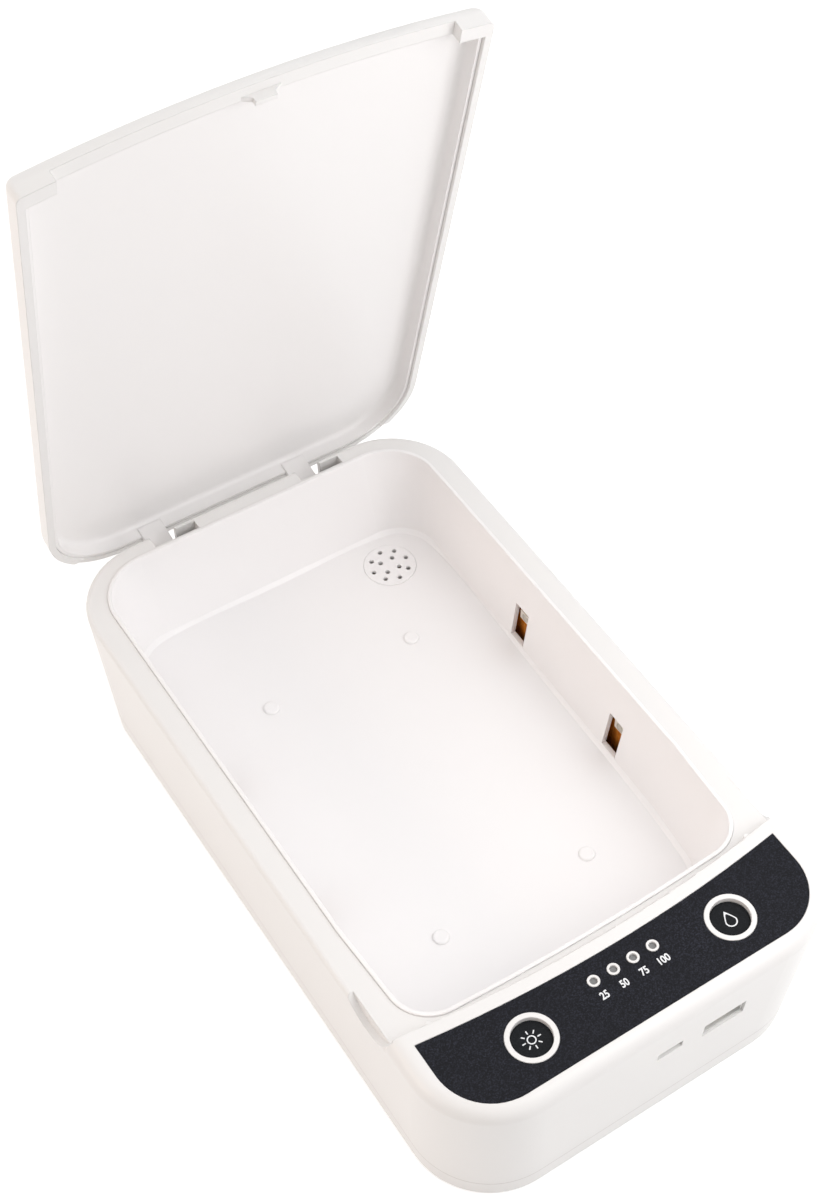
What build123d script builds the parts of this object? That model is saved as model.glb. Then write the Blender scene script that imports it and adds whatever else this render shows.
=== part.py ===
# Ultraviolet phone sanitiser box with a spring lid, two push keys and a scent cup.
# Millimetres. +X right, +Y to the hinge, +Z up. Origin: centre of the underside.
# The lid is drawn shut, on planes that are turned about the hinge to the angle where it rests open.
from build123d import *
import os
from math import cos, pi, radians, sin

# casing
BODY_LENGTH = 216.0
BODY_WIDTH = 124.0
BODY_CORNER = 24.0  # corner radius in plan
RIM_Z = 49.5  # height of the flat rim round the chamber
WALL_LEAN = 0.0465  # inward lean of the walls per millimetre down
WALL = 2.2
RIM_PLATE = 2.2
RIM_EDGE = 1.4  # rounding of the rim's outer edge
PARTING_Z = 7.5  # joint line between housing and bottom cover
FLOOR = 2.0  # bottom cover's floor
TONGUE_RISE = 2.0
TONGUE_THICK = 1.0
FIT = 0.15  # gap between fixed pieces that slip together
CLOSE_FIT = 0.05  # gap round the tub's lip and the grille
UNDER_EDGE = 1.0  # rounding of the underside's edge

# control deck
DECK_RISE = 4.5
DECK_EDGE = 4.3
DECK_PLATE = 2.2
DECK_BACK_Y = -77.5  # middle of the deck's rear wall
DECK_BACK_RADIUS = 416.0
DECK_BACK_EDGE = 0.5
NUB_X = 50.1  # small detent ribs on the deck's rear wall
NUB_Y = -74.4
NUB_RADIUS = 0.8
LABEL_HALF = 56.3
LABEL_FRONT_Y = -103.4
LABEL_BACK_Y = -81.6  # middle of its rear edge
LABEL_CORNER = 16.0
LABEL_THICK = 0.4
LABEL_GAP = 0.12
KEY_X = 31.1
KEY_Y = -91.8
COLLAR_OD = 13.8  # pale collar round each key
COLLAR_ID = 11.0
COLLAR_PROUD = 0.1
KEY_OD = 10.8
KEY_SUNK = 1.2  # key's face below the collar's
KEY_FLANGE_OD = 12.8
KEY_FLANGE = 1.4
KEY_FLANGE_GAP = 0.3
KEY_STEM_OD = 4.0
KEY_TRAVEL = 0.6
LIGHT_PITCH = 6.16
LIGHT_Y = -87.4
LIGHT_COUNT = 4
LIGHT_COLLAR_OD = 3.4
LIGHT_OD = 1.9
LIGHT_GAP = 0.1
LIGHT_SUNK = 0.5
LIGHT_BAR_WIDTH = 5.0
LIGHT_BAR_THICK = 1.5

# finger scoops beside the chamber's front end
SCOOP_Y = -63.3
SCOOP_RADIUS = 10.8
SCOOP_DEPTH = 4.4
SCOOP_INWARD = 2.0
SCOOP_WALL = 1.6

# chamber tub
MOUTH_REAR_HALF = 53.6
MOUTH_BEND_Y = -38.0  # from here forward the mouth narrows a little
MOUTH_FRONT_HALF = 51.9
MOUTH_REAR_Y = 101.2
MOUTH_FRONT_Y = -71.3  # at the front corners
MOUTH_FRONT_BOW = 1.8
MOUTH_BEND_SHARE = 0.45  # how much of the narrowing the bend takes at the foot
MOUTH_REAR_CORNER = 15.3
MOUTH_FRONT_CORNER = 11.0
LIP_WIDTH = 1.1
LIP_RISE = 0.6
LIP_EDGE = 0.3
TUB_FLOOR_Z = 21.5
TUB_FLOOR = 1.8
TUB_WALL = 1.6
FOOT_REAR_IN = 2.4  # how far the foot of each wall lies inside the mouth
FOOT_FRONT_IN = 5.3
FOOT_BACK_IN = 8.3
FOOT_NOSE_IN = 5.0
FOOT_CHAMFER = 1.2
FLOOR_NUB_X = 24.5
FLOOR_NUB_YS = (52.0, -40.5)
FLOOR_NUB_OD = 4.7
FLOOR_NUB_RISE = 0.8
WINDOW_YS = (32.9, -15.7)
WINDOW_WIDTH = 6.5
WINDOW_SILL = 1.6  # above the floor
WINDOW_HEIGHT = 13.5
FLANGE_HALF = 58.9
FLANGE_Y = (-46.0, 84.0)
FLANGE_THICK = 1.4
TUB_SCREW_X = 57.0
TUB_SCREW_YS = (-36.0, 14.0, 72.0)
BOSS_OD = 6.4
BOSS_POINTS = ((46.0, 66.0), (42.0, -56.0))

# scent cup in the chamber floor
AROMA_X = 34.5
AROMA_Y = 80.4
GRILLE_OD = 16.5
GRILLE_THICK = 1.2
GRILLE_PROUD = 0.2
GRILLE_HOLE = 1.5
GRILLE_RINGS = ((8, 5.9, 0.0), (4, 3.0, 45.0))  # holes, radius, first angle
CUP_BORE = 14.0
CUP_WALL = 1.0
CUP_DEPTH = 12.0
CUP_FLANGE_OD = 18.6
PAD_OD = 13.2
PAD_THICK = 6.0
HEATER_OD = 12.0
HEATER_THICK = 1.6

# lamps
LAMP_BOARD_X = 54.4  # face towards the chamber
LAMP_BOARD_THICK = 1.2
LAMP_BOARD_Y = (-31.0, 48.0)
LAMP_BOARD_Z = (15.0, 38.0)
LAMP_SIZE = (5.0, 3.6)
LAMP_THICK = 1.2
LAMP_DROP = 3.0  # lamp's upper edge below the window's head
STANDOFF_YS = (-27.0, 8.6, 44.0)
STANDOFF_SIZE = 4.0
STANDOFF_Z = (25.0, 33.0)
STANDOFF_REACH = 6.0

# lid
LID_REAR_Y = 107.2
LID_FRONT_Y = -76.7
LID_FRONT_RADIUS = 370.0
LID_REAR_CORNER = 24.7
LID_FRONT_CORNER = 2.0
LID_THICK = 8.1
LID_EDGE = 4.0
LID_SEAT_GAP = 0.15
LID_WALL = 2.1
LID_TOP = 1.2
LINER_GAP = 0.1
LINER_WALL = 1.0
LINER_PANEL = 0.8
LINER_STEP = 1.0  # liner's edge above the cover's
BAR_THICK = 4.2  # solid bar across the free end
SKIRT_LIFT = 3.3
SKIRT_HALF = 52.3
REAR_RELIEF = 0.75
REAR_RELIEF_DEPTH = 7.0
TAB_HALF = 2.85  # stop tab in the middle of the bar, over the tub's lip
TAB_ROOT_HALF = 5.2
TAB_ROOT = 1.3
TAB_THICK = 1.4
SKIRT_BACK_Y = -66.0
MAGNET_X = 20.0
MAGNET_BACK = 0.3  # its rear face behind the bar's rear at mid width
MAGNET_SIZE = (5.0, 1.6, 0.7)

# hinge
HINGE_Y = 104.3
HINGE_Z = 40.6
OPEN_ANGLE = 75.7
PIN_OD = 2.0
PIN_PLAY = 0.05
KNUCKLE_OD = 4.4
NOTCH_X = 24.9
NOTCH_WIDTH = 14.4
NOTCH_FRONT_Y = 103.1
NOTCH_BOTTOM_Z = 38.1
COIL_POCKET_Y = 106.3  # rear of the notch beside the arm, where the wall stays shut
ARM_WIDTH = 7.6
ARM_GAP = 0.3
ARM_FRONT_Y = 103.5
ARM_REAR_Y = 106.7
ARM_STEP_Z = 50.1  # above it the arm is thin, in front of the cover's rear wall
EAR_THICK = 1.9
EAR_OD = 5.2
EAR_FRONT_Y = 102.5
WIRE_OD = 0.7
COIL_RADIUS = 1.5
COIL_PITCH = 1.2
COIL_TURNS = 4
COIL_LOW_LEG = 4.4
COIL_BACK_LEG = 1.8
RIB_GAP = 0.05
RIB_WIDTH = 2.0
RIB_Z = (34.4, 37.4)

# control board and sockets
BOARD_TOP_Z = 39.2
BOARD_THICK = 1.6
BOARD_HALF = 40.0
BOARD_Y = (-103.8, -79.0)
POST_X = 37.0
POST_YS = (-82.5, -100.5)
POST_OD = 4.6
POST_SCREW_DEPTH = 5.0
SWITCH_SIZE = 6.0
SWITCH_HEIGHT = 3.5
PLUNGER_OD = 3.4
PLUNGER_RISE = 1.0
PLUNGER_DEPTH = 1.3
PLUNGER_PLAY = 0.1
PLUNGER_ROOM = 0.3
LED_SIZE = (3.0, 1.6, 1.2)
LED_GAP = 0.3
CHIP_POINT = (0.0, -97.0)
CHIP_SIZE = (6.0, 5.0, 1.6)
INDUCTOR_POINT = (-24.0, -95.0)
INDUCTOR_SIZE = (8.0, 4.5)
SENSOR_POINT = (20.0, -81.0)
SENSOR_SIZE = (4.0, 1.6, 3.0)
SENSOR_LEG = 5.0
SENSOR_PITCH = 1.27
CONNECTOR_SIZE = (6.0, 5.0, 5.0)
CONNECTOR_POINTS = ((-30.0, -83.0), (-8.0, -83.0), (30.0, -83.0))
SOCKET_FRONT_Y = -106.5
SOCKET_METAL = 0.3
USB_A_X = 19.8
USB_A_SIZE = (13.1, 14.0, 5.7)
USB_A_TONGUE = (11.1, 12.2, 1.9)
USB_A_TONGUE_DROP = 0.6
MICRO_X = 2.0
MICRO_SIZE = (7.5, 5.6, 2.6)
MICRO_TONGUE = (5.6, 4.2, 0.7)
MICRO_TONGUE_DROP = 0.5
SOCKET_BASE = 1.0
SOCKET_GAP = 0.2

# fasteners, feet and leads
CASE_SCREW = (5.0, 1.3, 2.6, 9.0)  # head diameter, head height, shank diameter, shank length
TUB_SCREW = (3.4, 1.0, 1.6, 2.9)
BOARD_SCREW = (3.8, 1.2, 1.8, 6.0)
FOOT_OD = 11.0
FOOT_THICK = 1.2
FOOT_X = 46.0
FOOT_YS = (88.0, -88.0)
LEAD_OD = 1.8
LEAD_LOW_Z = 8.0
LEAD_LANE_Y = -60.0
LEAD_END_GAP = 0.2
SCREW_SUNK = 0.4
SCREW_SEAT_Z = 4.0
SLOT_WIDTH = 0.6

DECK_Z = RIM_Z + DECK_RISE
RIM_UNDER_Z = RIM_Z - RIM_PLATE
DECK_UNDER_Z = DECK_Z - DECK_PLATE
TUB_TOP_Z = RIM_Z + LIP_RISE
TUB_UNDER_Z = TUB_FLOOR_Z - TUB_FLOOR
LID_SEAT_Z = RIM_Z + LID_SEAT_GAP
LID_TOP_Z = RIM_Z + LID_THICK
BOARD_UNDER_Z = BOARD_TOP_Z - BOARD_THICK
SKIRT_Z = RIM_Z + SKIRT_LIFT
LIGHT_XS = [(i - (LIGHT_COUNT - 1) / 2) * LIGHT_PITCH for i in range(LIGHT_COUNT)]
WINDOW_Z = TUB_FLOOR_Z + WINDOW_SILL + WINDOW_HEIGHT / 2
KEY_TOP_Z = DECK_Z - KEY_SUNK
KEY_FLANGE_Z = DECK_UNDER_Z - KEY_FLANGE_GAP
REAR_INSIDE_Y = BODY_LENGTH / 2 - WALL - (RIM_Z - HINGE_Z) * WALL_LEAN
ABOVE = 5.0  # how far a cutting block runs past the face that it opens


def keep(piece, label):
    """Name a finished piece and write it to its own file."""
    piece.part.label = label
    export_step(piece.part, f"parts/{label}.step")


def lid_plane(z):
    """The level plane at height z of the shut lid, turned to where the lid rests open."""
    turn = radians(OPEN_ANGLE)
    dy = -HINGE_Y
    dz = z - HINGE_Z
    place = (0, HINGE_Y + dy * cos(turn) + dz * sin(turn), HINGE_Z - dy * sin(turn) + dz * cos(turn))
    return Plane(origin=place, x_dir=(1, 0, 0), z_dir=(0, sin(turn), cos(turn)))


def lid_side_plane(x):
    """The upright plane at x of the lid, with its own x along the lid's length and y up from the underside."""
    turn = radians(OPEN_ANGLE)
    place = lid_plane(0).from_local_coords((x, 0, 0))
    return Plane(origin=place, x_dir=(0, cos(turn), -sin(turn)), z_dir=(1, 0, 0))


def lid_front_plane(y):
    """The upright plane at y of the lid, seen from its free end, with its own y up from the underside."""
    turn = radians(OPEN_ANGLE)
    place = lid_plane(0).from_local_coords((0, y, 0))
    return Plane(origin=place, x_dir=(1, 0, 0), z_dir=(0, -cos(turn), sin(turn)))


def side_plane(x):
    """The upright plane at x, with its own x along +Y and its own y along +Z."""
    return Plane(origin=(x, 0, 0), x_dir=(0, 1, 0), z_dir=(1, 0, 0))


def body_section(z, inset=0.0):
    """The casing's outline at height z, drawn in by inset."""
    shrink = 2 * (inset + max(RIM_Z - z, 0) * WALL_LEAN)
    with BuildSketch(Plane.XY.offset(z)) as section:
        RectangleRounded(BODY_WIDTH - shrink, BODY_LENGTH - shrink, BODY_CORNER - inset)
    return section.sketch.face()


def behind_deck(z, shift=0.0):
    """Everything behind the deck's hollow rear wall, at height z, with that wall moved back by shift."""
    edge_x = BODY_WIDTH
    middle_y = DECK_BACK_Y + shift
    edge_y = middle_y + DECK_BACK_RADIUS - (DECK_BACK_RADIUS**2 - edge_x**2) ** 0.5
    with BuildSketch(Plane.XY.offset(z)) as area:
        with BuildLine():
            wall = ThreePointArc((-edge_x, edge_y), (0, middle_y), (edge_x, edge_y))
            Polyline(wall @ 1, (edge_x, BODY_LENGTH), (-edge_x, BODY_LENGTH), wall @ 0)
        make_face()
    return area.sketch.face()


def label_outline(z, gap=0.0):
    """The control label's outline, grown by gap."""
    side_y = LABEL_BACK_Y + LABEL_HALF**2 / (2 * DECK_BACK_RADIUS)
    with BuildSketch(Plane.XY.offset(z)) as outline:
        with BuildLine():
            back = ThreePointArc((-LABEL_HALF, side_y), (0, LABEL_BACK_Y), (LABEL_HALF, side_y))
            Polyline(back @ 1, (LABEL_HALF, LABEL_FRONT_Y), (-LABEL_HALF, LABEL_FRONT_Y), back @ 0)
        make_face()
        fillet(outline.vertices().group_by(Axis.Y)[0], LABEL_CORNER)
        if gap:
            offset(amount=gap)
    return outline.sketch.face()


def tub_section(z, grow=0.0):
    """The chamber's inner outline at height z, grown by grow."""
    depth = (TUB_TOP_Z - z) / (TUB_TOP_Z - TUB_FLOOR_Z)
    rear_half = MOUTH_REAR_HALF - FOOT_REAR_IN * depth + grow
    front_half = MOUTH_FRONT_HALF - FOOT_FRONT_IN * depth + grow
    bend_half = rear_half - (rear_half - front_half) * MOUTH_BEND_SHARE * depth
    rear_y = MOUTH_REAR_Y - FOOT_BACK_IN * depth + grow
    front_y = MOUTH_FRONT_Y + FOOT_NOSE_IN * depth - grow
    with BuildSketch(Plane.XY.offset(z)) as section:
        with BuildLine():
            nose = ThreePointArc((-front_half, front_y), (0, front_y - MOUTH_FRONT_BOW), (front_half, front_y))
            Polyline(
                nose @ 1, (bend_half, MOUTH_BEND_Y), (rear_half, rear_y),
                (-rear_half, rear_y), (-bend_half, MOUTH_BEND_Y), nose @ 0,
            )
        make_face()
        fillet(section.vertices().group_by(Axis.Y)[-1], MOUTH_REAR_CORNER - FOOT_REAR_IN * depth + grow)
        fillet(section.vertices().group_by(Axis.Y)[0], MOUTH_FRONT_CORNER + grow)
    return section.sketch.face()


def lid_section(z, inset=0.0):
    """The lid's outline at height z of the shut lid, drawn in by inset."""
    half = BODY_WIDTH / 2 - inset
    radius = LID_FRONT_RADIUS - inset
    side_y = LID_FRONT_Y + LID_FRONT_RADIUS - (radius**2 - half**2) ** 0.5
    rear_y = LID_REAR_Y - inset
    with BuildSketch(lid_plane(z)) as outline:
        with BuildLine():
            front = ThreePointArc((-half, side_y), (0, LID_FRONT_Y + inset), (half, side_y))
            Polyline(front @ 1, (half, rear_y), (-half, rear_y), front @ 0)
        make_face()
        fillet(outline.vertices().group_by(Axis.Y)[-1], LID_REAR_CORNER - inset)
        fillet(outline.vertices().group_by(Axis.Y)[0], max(LID_FRONT_CORNER - inset, 0.5))
    return outline.sketch.face()


def discs(plane, points, diameter):
    """Round discs at the points of a plane."""
    with BuildSketch(plane) as found:
        with Locations(*points):
            Circle(diameter / 2)
    return found.sketch


def boxes(plane, places, width, length):
    """Rectangles at the places of a plane."""
    with BuildSketch(plane) as found:
        with Locations(*places):
            Rectangle(width, length)
    return found.sketch


def mirrored(points):
    """The points and their mirror images across x = 0."""
    return [(side * x, y) for x, y in points for side in (-1, 1)]


def span(plane, x0, y0, x1, y1):
    """A rectangle of a plane between two corners."""
    with BuildSketch(plane) as found:
        with Locations(((x0 + x1) / 2, (y0 + y1) / 2)):
            Rectangle(abs(x1 - x0), abs(y1 - y0))
    return found.sketch


def ear_spans():
    """The x ranges of the four hinge ears, two beside each notch."""
    edge = NOTCH_WIDTH / 2
    return [
        (middle + side * edge, middle + side * (edge + EAR_THICK))
        for middle in (-NOTCH_X, NOTCH_X)
        for side in (-1, 1)
    ]


def arm_left(middle):
    """The x where the lid's arm begins in the notch centred at middle."""
    return middle - NOTCH_WIDTH / 2 + ARM_GAP


def deck_block():
    """The raised deck with its rounded edge and the top of the wall below it, cut off at its hollow rear wall."""
    low = RIM_Z - 2 * RIM_EDGE
    with BuildPart() as block:
        extrude(body_section(RIM_Z), amount=DECK_RISE)
        fillet(block.edges().group_by(Axis.Z)[-1], DECK_EDGE)
        loft(sections=[body_section(low), body_section(RIM_Z)], ruled=True)
        extrude(behind_deck(low - 1), amount=DECK_Z, mode=Mode.SUBTRACT)
        back = block.edges().group_by(Axis.Z)[-1].filter_by(GeomType.CIRCLE).sort_by(Axis.Y)[-1]
        fillet(back, DECK_BACK_EDGE)
    return block.part


def deck_hollow():
    """The space under the deck's plate."""
    inset = WALL + 1.0
    with BuildPart() as hollow:
        extrude(body_section(RIM_Z, inset), amount=DECK_UNDER_Z - RIM_Z)
        extrude(body_section(RIM_Z, WALL), amount=-RIM_PLATE - ABOVE)
        extrude(behind_deck(RIM_UNDER_Z - ABOVE, -WALL), amount=DECK_Z, mode=Mode.SUBTRACT)
    return hollow.part


def scoop_cylinder():
    """The round bars that press a finger scoop into each side of the rim."""
    centre = (SCOOP_Y, RIM_Z - SCOOP_DEPTH + SCOOP_RADIUS)
    reach = BODY_WIDTH / 2 - SCOOP_INWARD
    with BuildPart() as bars:
        for side in (-1, 1):
            extrude(discs(side_plane(side * reach), [centre], 2 * SCOOP_RADIUS), amount=side * ABOVE)
    return bars.part


def hinge_ears():
    """Four ears under the rear rim, with the bores that grip the hinge pins."""
    with BuildPart() as ears:
        for x0, x1 in ear_spans():
            plane = side_plane(min(x0, x1))
            extrude(discs(plane, [(HINGE_Y, HINGE_Z)], EAR_OD), amount=EAR_THICK)
            extrude(span(plane, EAR_FRONT_Y, HINGE_Z, REAR_INSIDE_Y + 0.5, RIM_UNDER_Z + 0.5), amount=EAR_THICK)
            extrude(span(plane, HINGE_Y, NOTCH_BOTTOM_Z, REAR_INSIDE_Y + 0.5, HINGE_Z), amount=EAR_THICK)
        bore = discs(side_plane(0), [(HINGE_Y, HINGE_Z)], PIN_OD)
        extrude(bore, amount=BODY_WIDTH / 2, both=True, mode=Mode.SUBTRACT)
    return ears.part


def spring_ribs():
    """One rib behind the lower leg of each hinge spring."""
    front = HINGE_Y - COIL_RADIUS + WIRE_OD / 2 + RIB_GAP
    with BuildPart() as ribs:
        for middle in (-NOTCH_X, NOTCH_X):
            plane = side_plane(coil_start_x(middle) - RIB_WIDTH / 2)
            extrude(span(plane, front, RIB_Z[0], REAR_INSIDE_Y + 0.5, RIB_Z[1]), amount=RIB_WIDTH)
    return ribs.part


def build_housing():
    """Upper casing: walls, rim, deck, hinge ears, posts and every opening."""
    key_points = mirrored([(KEY_X, KEY_Y)])
    light_points = [(x, LIGHT_Y) for x in LIGHT_XS]
    post_points = mirrored([(POST_X, y) for y in POST_YS])
    half = BODY_WIDTH / 2
    with BuildPart() as housing:
        loft(sections=[body_section(PARTING_Z), body_section(RIM_Z)], ruled=True)
        fillet(housing.edges().group_by(Axis.Z)[-1], RIM_EDGE)
        add(deck_block())
        # hollow inside, open below
        inner = [body_section(PARTING_Z, WALL), body_section(RIM_UNDER_Z, WALL)]
        loft(sections=inner, ruled=True, mode=Mode.SUBTRACT)
        add(deck_hollow(), mode=Mode.SUBTRACT)
        # finger scoops, each with a wall of its own inside
        for side in (-1, 1):
            plane = side_plane(side * (half - SCOOP_INWARD - SCOOP_WALL))
            bottom = RIM_Z - SCOOP_DEPTH - SCOOP_WALL
            block = span(plane, SCOOP_Y - SCOOP_RADIUS, bottom, SCOOP_Y + SCOOP_RADIUS, RIM_UNDER_Z)
            extrude(block, amount=side * (SCOOP_INWARD + SCOOP_WALL - WALL / 2))
        add(scoop_cylinder(), mode=Mode.SUBTRACT)
        # the mouth and the hinge notches, open to the rear only behind the arms
        extrude(tub_section(TUB_TOP_Z, LIP_WIDTH + CLOSE_FIT), amount=-LIP_RISE - RIM_PLATE - 1, mode=Mode.SUBTRACT)
        for middle in (-NOTCH_X, NOTCH_X):
            low = Plane.XY.offset(NOTCH_BOTTOM_Z)
            edge = NOTCH_WIDTH / 2
            beside_arm = arm_left(middle) + ARM_WIDTH + ARM_GAP
            for notch in (
                span(low, middle - edge, NOTCH_FRONT_Y, beside_arm, BODY_LENGTH),
                span(low, beside_arm, NOTCH_FRONT_Y, middle + edge, COIL_POCKET_Y),
            ):
                extrude(notch, amount=RIM_Z - NOTCH_BOTTOM_Z + 1, mode=Mode.SUBTRACT)
        add(hinge_ears())
        add(spring_ribs())
        # detent ribs on the deck's rear wall
        nubs = discs(Plane.XY.offset(RIM_Z - 0.2), mirrored([(NUB_X, NUB_Y)]), 2 * NUB_RADIUS)
        extrude(nubs, amount=DECK_RISE - 0.1)
        # bed for the label, with the collars left standing in it
        extrude(label_outline(DECK_Z, LABEL_GAP), amount=-LABEL_THICK, mode=Mode.SUBTRACT)
        bed = Plane.XY.offset(DECK_Z - LABEL_THICK)
        extrude(discs(bed, key_points, COLLAR_OD), amount=LABEL_THICK + COLLAR_PROUD)
        extrude(discs(bed, light_points, LIGHT_COLLAR_OD), amount=LABEL_THICK + COLLAR_PROUD)
        extrude(discs(Plane.XY.offset(BOARD_TOP_Z), post_points, POST_OD), amount=DECK_UNDER_Z - BOARD_TOP_Z + 0.5)
        above = Plane.XY.offset(DECK_UNDER_Z - 1)
        extrude(discs(above, key_points, COLLAR_ID), amount=DECK_PLATE + ABOVE, mode=Mode.SUBTRACT)
        extrude(discs(above, light_points, LIGHT_OD + 2 * LIGHT_GAP), amount=DECK_PLATE + ABOVE, mode=Mode.SUBTRACT)
        pilot = discs(Plane.XY.offset(BOARD_TOP_Z), post_points, BOARD_SCREW[2])
        extrude(pilot, amount=POST_SCREW_DEPTH, mode=Mode.SUBTRACT)
        tub_points = mirrored([(TUB_SCREW_X, y) for y in TUB_SCREW_YS])
        tub_holes = discs(Plane.XY.offset(RIM_UNDER_Z), tub_points, TUB_SCREW[2])
        extrude(tub_holes, amount=TUB_SCREW[3] - FLANGE_THICK + 0.1, mode=Mode.SUBTRACT)
        # socket openings in the front wall
        for x, size in ((USB_A_X, USB_A_SIZE), (MICRO_X, MICRO_SIZE)):
            wide = size[0] / 2 + SOCKET_GAP
            opening = span(
                Plane.XZ.offset(BODY_LENGTH / 2), x - wide, BOARD_UNDER_Z - size[2] - SOCKET_GAP,
                x + wide, BOARD_UNDER_Z + SOCKET_GAP,
            )
            extrude(opening, amount=-WALL - ABOVE, mode=Mode.SUBTRACT)
    keep(housing, "housing")


def build_bottom_cover():
    """Lower casing: floor, low wall, locating tongue, wells for the feet and seats for the screws."""
    screw_points = mirrored(BOSS_POINTS)
    foot_points = mirrored([(FOOT_X, y) for y in FOOT_YS])
    head, head_height, shank, _ = CASE_SCREW
    with BuildPart() as cover:
        loft(sections=[body_section(0), body_section(PARTING_Z)], ruled=True)
        fillet(cover.edges().group_by(Axis.Z)[0], UNDER_EDGE)
        loft(sections=[body_section(FLOOR, WALL), body_section(PARTING_Z, WALL)], ruled=True, mode=Mode.SUBTRACT)
        root = PARTING_Z - TONGUE_RISE
        top = PARTING_Z + TONGUE_RISE
        slip = WALL + FIT
        loft(sections=[body_section(root, WALL - FIT), body_section(PARTING_Z, WALL - FIT)], ruled=True)
        loft(sections=[body_section(PARTING_Z, slip), body_section(top, slip)], ruled=True)
        inner = slip + TONGUE_THICK
        loft(sections=[body_section(FLOOR, inner), body_section(top, inner)], ruled=True, mode=Mode.SUBTRACT)
        extrude(discs(Plane.XY, screw_points, head + 4), amount=SCREW_SEAT_Z)
        extrude(discs(Plane.XY, foot_points, FOOT_OD + 3), amount=FOOT_THICK + FLOOR / 2)
        extrude(discs(Plane.XY, foot_points, FOOT_OD + 2 * FIT), amount=FOOT_THICK, mode=Mode.SUBTRACT)
        extrude(discs(Plane.XY, screw_points, head + 0.6), amount=SCREW_SUNK + head_height, mode=Mode.SUBTRACT)
        extrude(discs(Plane.XY, screw_points, shank + 0.6), amount=SCREW_SEAT_Z, mode=Mode.SUBTRACT)
    keep(cover, "bottom_cover")


def tub_cavity():
    """The chamber's hollow, with a chamfer along the floor."""
    with BuildPart() as cavity:
        loft(sections=[tub_section(TUB_FLOOR_Z), tub_section(TUB_TOP_Z)], ruled=True)
        chamfer(cavity.edges().group_by(Axis.Z)[0], FOOT_CHAMFER)
    return cavity.part


def build_tub():
    """Chamber tub: lip, drafted walls, windows, floor nubs, screw flanges, lamp stand-offs and bosses."""
    wall_top = RIM_UNDER_Z - 0.1
    screw_points = mirrored([(TUB_SCREW_X, y) for y in TUB_SCREW_YS])
    with BuildPart() as tub:
        loft(sections=[tub_section(TUB_UNDER_Z, TUB_WALL), tub_section(wall_top, TUB_WALL)], ruled=True)
        extrude(tub_section(TUB_TOP_Z, LIP_WIDTH), amount=-LIP_RISE - RIM_PLATE - 1)
        for side in (-1, 1):
            strip = span(
                Plane.XY.offset(RIM_UNDER_Z - FLANGE_THICK), side * FLANGE_HALF, FLANGE_Y[0],
                side * (MOUTH_FRONT_HALF - 1), FLANGE_Y[1],
            )
            extrude(strip, amount=FLANGE_THICK)
            for y in STANDOFF_YS:
                edge = STANDOFF_SIZE / 2
                foot = span(side_plane(side * LAMP_BOARD_X), y - edge, STANDOFF_Z[0], y + edge, STANDOFF_Z[1])
                extrude(foot, amount=-side * STANDOFF_REACH)
        bosses = discs(Plane.XY.offset(SCREW_SEAT_Z), mirrored(BOSS_POINTS), BOSS_OD)
        extrude(bosses, amount=TUB_FLOOR_Z - SCREW_SEAT_Z)
        add(tub_cavity(), mode=Mode.SUBTRACT)
        lip_edges = tub.edges().group_by(Axis.Z)[-1]
        fillet(lip_edges, LIP_EDGE)
        # windows through both side walls
        openings = boxes(Plane.YZ, [(y, WINDOW_Z) for y in WINDOW_YS], WINDOW_WIDTH, WINDOW_HEIGHT)
        extrude(openings, amount=BODY_WIDTH / 2, both=True, mode=Mode.SUBTRACT)
        # low nubs that the phone lies on
        nub_points = mirrored([(FLOOR_NUB_X, y) for y in FLOOR_NUB_YS])
        extrude(discs(Plane.XY.offset(TUB_FLOOR_Z - 0.5), nub_points, FLOOR_NUB_OD), amount=0.5 + FLOOR_NUB_RISE)
        top_z = TUB_FLOOR_Z + FLOOR_NUB_RISE
        nub_tops = tub.edges().filter_by_position(Axis.Z, top_z - 0.01, top_z + 0.01)
        fillet(nub_tops.filter_by(GeomType.CIRCLE), FLOOR_NUB_RISE * 0.8)
        # seat for the grille over the scent cup
        seat_depth = GRILLE_THICK - GRILLE_PROUD
        seat = discs(Plane.XY.offset(TUB_FLOOR_Z), [(AROMA_X, AROMA_Y)], GRILLE_OD + 2 * CLOSE_FIT)
        extrude(seat, amount=-seat_depth, mode=Mode.SUBTRACT)
        bore = discs(Plane.XY.offset(TUB_FLOOR_Z), [(AROMA_X, AROMA_Y)], CUP_BORE)
        extrude(bore, amount=-TUB_FLOOR - 1, mode=Mode.SUBTRACT)
        # screw holes
        flange_holes = discs(Plane.XY.offset(RIM_UNDER_Z), screw_points, TUB_SCREW[2] + 0.4)
        extrude(flange_holes, amount=-FLANGE_THICK - 1, mode=Mode.SUBTRACT)
        boss_holes = discs(Plane.XY.offset(SCREW_SEAT_Z), mirrored(BOSS_POINTS), CASE_SCREW[2])
        extrude(boss_holes, amount=CASE_SCREW[3], mode=Mode.SUBTRACT)
    keep(tub, "tub")


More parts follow.
